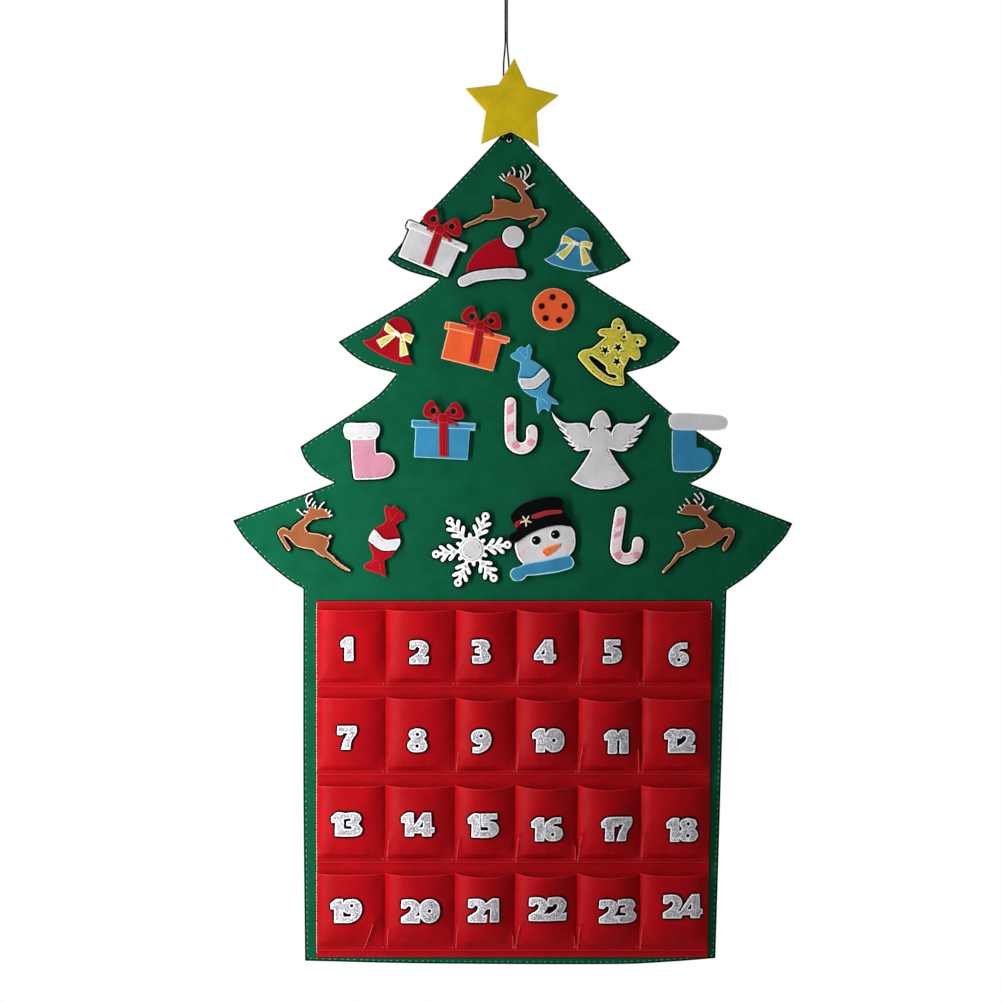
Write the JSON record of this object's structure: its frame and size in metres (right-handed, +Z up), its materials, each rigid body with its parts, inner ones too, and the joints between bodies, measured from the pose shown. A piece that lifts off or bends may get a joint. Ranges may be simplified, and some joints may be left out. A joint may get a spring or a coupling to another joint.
{
  "type": "advent calendar",
  "caption": "Felt Christmas tree wall hanging: four rows of sewn, numbered pockets on its trunk, loose cling-on felt ornaments on its tiers and a hanging cord loop.",
  "frame": {"origin": "the nail that the hanging cord loop rests on, in the plane of the tree's back", "axes": "+Z up, +X to the right as seen from the front, the front faces -Y and the back, at y = 0, faces the wall"},
  "size_m": [0.6, 0.0226, 1.058],
  "materials": {
    "felt_green": "matte felt",
    "felt_red": "matte felt",
    "cord_red": "twisted cord",
    "glitter_white": "glittered felt",
    "felt_yellow": "matte felt",
    "felt_brown": "matte felt",
    "felt_white": "matte felt",
    "felt_orange": "matte felt",
    "felt_blue": "matte felt",
    "felt_lemon": "matte felt",
    "felt_pink": "matte felt",
    "felt_black": "matte felt"
  },
  "bodies": {
    "tree": {"tree_panel": "felt_green", "pocket_backing": "felt_red", "pocket_row_1": "felt_red", "pocket_row_2": "felt_red", "pocket_row_3": "felt_red", "pocket_row_4": "felt_red", "hanging_cord": "cord_red", "number_01": "glitter_white", "number_02": "glitter_white", "number_03": "glitter_white", "number_04": "glitter_white", "number_05": "glitter_white", "number_06": "glitter_white", "number_07": "glitter_white", "number_08": "glitter_white", "number_09": "glitter_white", "number_10": "glitter_white", "number_11": "glitter_white", "number_12": "glitter_white", "number_13": "glitter_white", "number_14": "glitter_white", "number_15": "glitter_white", "number_16": "glitter_white", "number_17": "glitter_white", "number_18": "glitter_white", "number_19": "glitter_white", "number_20": "glitter_white", "number_21": "glitter_white", "number_22": "glitter_white", "number_23": "glitter_white", "number_24": "glitter_white"},
    "star": {"star": "felt_yellow"},
    "reindeer_top": {"reindeer_top": "felt_brown"},
    "gift_white": {"gift_box_white": "felt_white", "gift_ribbon_white": "felt_red"},
    "santa_hat": {"santa_hat": "felt_red", "santa_hat_brim": "felt_white", "santa_hat_pompom": "felt_white"},
    "bell_blue": {"bell_blue": "felt_blue", "bell_bow_blue": "felt_lemon"},
    "biscuit": {"biscuit": "felt_orange"},
    "bell_red": {"bell_red": "felt_red", "bell_bow_red": "felt_lemon"},
    "gift_orange": {"gift_box_orange": "felt_orange", "gift_ribbon_orange": "felt_red"},
    "bell_yellow": {"bell_yellow": "felt_lemon"},
    "candy_blue": {"candy_blue": "felt_blue"},
    "gift_blue": {"gift_box_blue": "felt_blue", "gift_ribbon_blue": "felt_red"},
    "candy_cane_upper": {"candy_cane_upper": "felt_white"},
    "angel": {"angel": "felt_white"},
    "stocking_pink": {"stocking_pink": "felt_pink"},
    "stocking_blue": {"stocking_blue": "felt_blue"},
    "reindeer_left": {"reindeer_left": "felt_brown"},
    "candy_red": {"candy_red": "felt_red"},
    "snowflake": {"snowflake": "felt_white"},
    "snowman": {"snowman_head": "felt_white", "snowman_hat": "felt_black"},
    "candy_cane_lower": {"candy_cane_lower": "felt_white"},
    "reindeer_right": {"reindeer_right": "felt_brown"}
  },
  "joints": [
    {"name": "star_pull_off", "type": "slide", "parent": "tree", "child": "star", "axis": [0, -1, 0], "range_m": [0, 0.04]},
    {"name": "reindeer_top_pull_off", "type": "slide", "parent": "tree", "child": "reindeer_top", "axis": [0, -1, 0], "range_m": [0, 0.04]},
    {"name": "gift_white_pull_off", "type": "slide", "parent": "tree", "child": "gift_white", "axis": [0, -1, 0], "range_m": [0, 0.04]},
    {"name": "santa_hat_pull_off", "type": "slide", "parent": "tree", "child": "santa_hat", "axis": [0, -1, 0], "range_m": [0, 0.04]},
    {"name": "bell_blue_pull_off", "type": "slide", "parent": "tree", "child": "bell_blue", "axis": [0, -1, 0], "range_m": [0, 0.04]},
    {"name": "biscuit_pull_off", "type": "slide", "parent": "tree", "child": "biscuit", "axis": [0, -1, 0], "range_m": [0, 0.04]},
    {"name": "bell_red_pull_off", "type": "slide", "parent": "tree", "child": "bell_red", "axis": [0, -1, 0], "range_m": [0, 0.04]},
    {"name": "gift_orange_pull_off", "type": "slide", "parent": "tree", "child": "gift_orange", "axis": [0, -1, 0], "range_m": [0, 0.04]},
    {"name": "bell_yellow_pull_off", "type": "slide", "parent": "tree", "child": "bell_yellow", "axis": [0, -1, 0], "range_m": [0, 0.04]},
    {"name": "candy_blue_pull_off", "type": "slide", "parent": "tree", "child": "candy_blue", "axis": [0, -1, 0], "range_m": [0, 0.04]},
    {"name": "gift_blue_pull_off", "type": "slide", "parent": "tree", "child": "gift_blue", "axis": [0, -1, 0], "range_m": [0, 0.04]},
    {"name": "candy_cane_upper_pull_off", "type": "slide", "parent": "tree", "child": "candy_cane_upper", "axis": [0, -1, 0], "range_m": [0, 0.04]},
    {"name": "angel_pull_off", "type": "slide", "parent": "tree", "child": "angel", "axis": [0, -1, 0], "range_m": [0, 0.04]},
    {"name": "stocking_pink_pull_off", "type": "slide", "parent": "tree", "child": "stocking_pink", "axis": [0, -1, 0], "range_m": [0, 0.04]},
    {"name": "stocking_blue_pull_off", "type": "slide", "parent": "tree", "child": "stocking_blue", "axis": [0, -1, 0], "range_m": [0, 0.04]},
    {"name": "reindeer_left_pull_off", "type": "slide", "parent": "tree", "child": "reindeer_left", "axis": [0, -1, 0], "range_m": [0, 0.04]},
    {"name": "candy_red_pull_off", "type": "slide", "parent": "tree", "child": "candy_red", "axis": [0, -1, 0], "range_m": [0, 0.04]},
    {"name": "snowflake_pull_off", "type": "slide", "parent": "tree", "child": "snowflake", "axis": [0, -1, 0], "range_m": [0, 0.04]},
    {"name": "snowman_pull_off", "type": "slide", "parent": "tree", "child": "snowman", "axis": [0, -1, 0], "range_m": [0, 0.04]},
    {"name": "candy_cane_lower_pull_off", "type": "slide", "parent": "tree", "child": "candy_cane_lower", "axis": [0, -1, 0], "range_m": [0, 0.04]},
    {"name": "reindeer_right_pull_off", "type": "slide", "parent": "tree", "child": "reindeer_right", "axis": [0, -1, 0], "range_m": [0, 0.04]}
  ]
}
